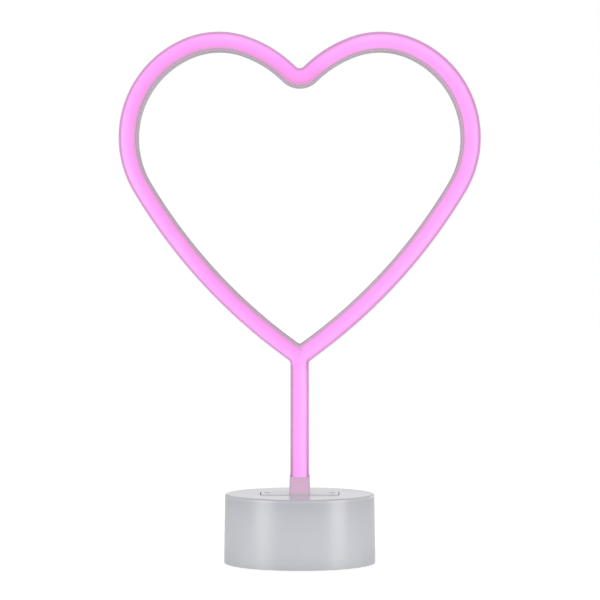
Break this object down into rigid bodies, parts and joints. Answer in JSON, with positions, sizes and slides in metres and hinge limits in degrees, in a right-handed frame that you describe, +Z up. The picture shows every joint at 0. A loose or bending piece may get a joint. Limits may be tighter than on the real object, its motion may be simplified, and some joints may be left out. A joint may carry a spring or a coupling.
{
  "type": "led table lamp",
  "caption": "Heart-shaped glowing tube lamp on a short stem, held in a round battery base with a slide switch and a hinged battery door.",
  "frame": {"origin": "on the surface it stands on, under the centre of the round base", "axes": "+Z up; the lit face of the heart looks along -Y; +X is the viewer's right; the power switch is at +Y"},
  "size_m": [0.2242, 0.0944, 0.3309],
  "materials": {
    "lit_diffuser": "satin milky pink, lit from inside",
    "milky_housing": "satin translucent white, tinted by the light",
    "collar_plastic": "satin translucent pink, unlit",
    "base_plastic": "polished white ABS",
    "inner_plastic": "plain moulded white",
    "foot_rubber": "soft clear-white silicone, satin",
    "board_mask": "green solder mask",
    "strip_mask": "white solder mask",
    "led_package": "white package with phosphor, lit",
    "chip_black": "moulded epoxy",
    "can_alu": "satin sleeve",
    "cell_can": "label-wrapped can; light metal stands for the cell's mean density",
    "contact_metal": "nickel plated",
    "screw_steel": "zinc plated",
    "switch_can": "tin plated",
    "switch_black": "fine matt",
    "solder_wire": "tinned",
    "wire_red": "soft insulation",
    "wire_black": "soft insulation"
  },
  "bodies": {
    "lamp": {"front_diffuser": "lit_diffuser", "rear_housing": "milky_housing", "led_board_right": "strip_mask", "led_board_left": "strip_mask", "led_board_stem": "strip_mask", "led_chips": "led_package", "led_resistors": "chip_black", "board_jumpers": "solder_wire", "stem_collar": "collar_plastic", "holder_plug": "base_plastic", "holder_screws": "screw_steel", "stem_lock_screw": "screw_steel", "base_shell": "base_plastic", "bottom_plate": "base_plastic", "base_screws": "screw_steel", "rubber_feet": "foot_rubber", "battery_tray": "inner_plastic", "battery_1": "cell_can", "battery_2": "cell_can", "battery_3": "cell_can", "contact_positive": "contact_metal", "contact_negative": "contact_metal", "bridge_contact_right": "contact_metal", "bridge_contact_left": "contact_metal", "circuit_board": "board_mask", "driver_chip": "chip_black", "board_capacitor": "can_alu", "board_choke": "chip_black", "board_screws": "screw_steel", "switch_body": "switch_can", "tube_lead_red": "wire_red", "tube_lead_black": "wire_black", "battery_lead_red": "wire_red", "battery_lead_black": "wire_black"},
    "door": {"battery_door": "base_plastic"},
    "switch": {"switch_lever": "switch_black"}
  },
  "joints": [
    {"name": "battery_door_hinge", "type": "hinge", "parent": "lamp", "child": "door", "pos_m": [-0.0286, 0, 0.0025], "axis": [0, 1, 0], "range_deg": [0, 100]},
    {"name": "power_switch_slide", "type": "slide", "parent": "lamp", "child": "switch", "axis": [1, 0, 0], "range_m": [0, 0.0034]}
  ]
}
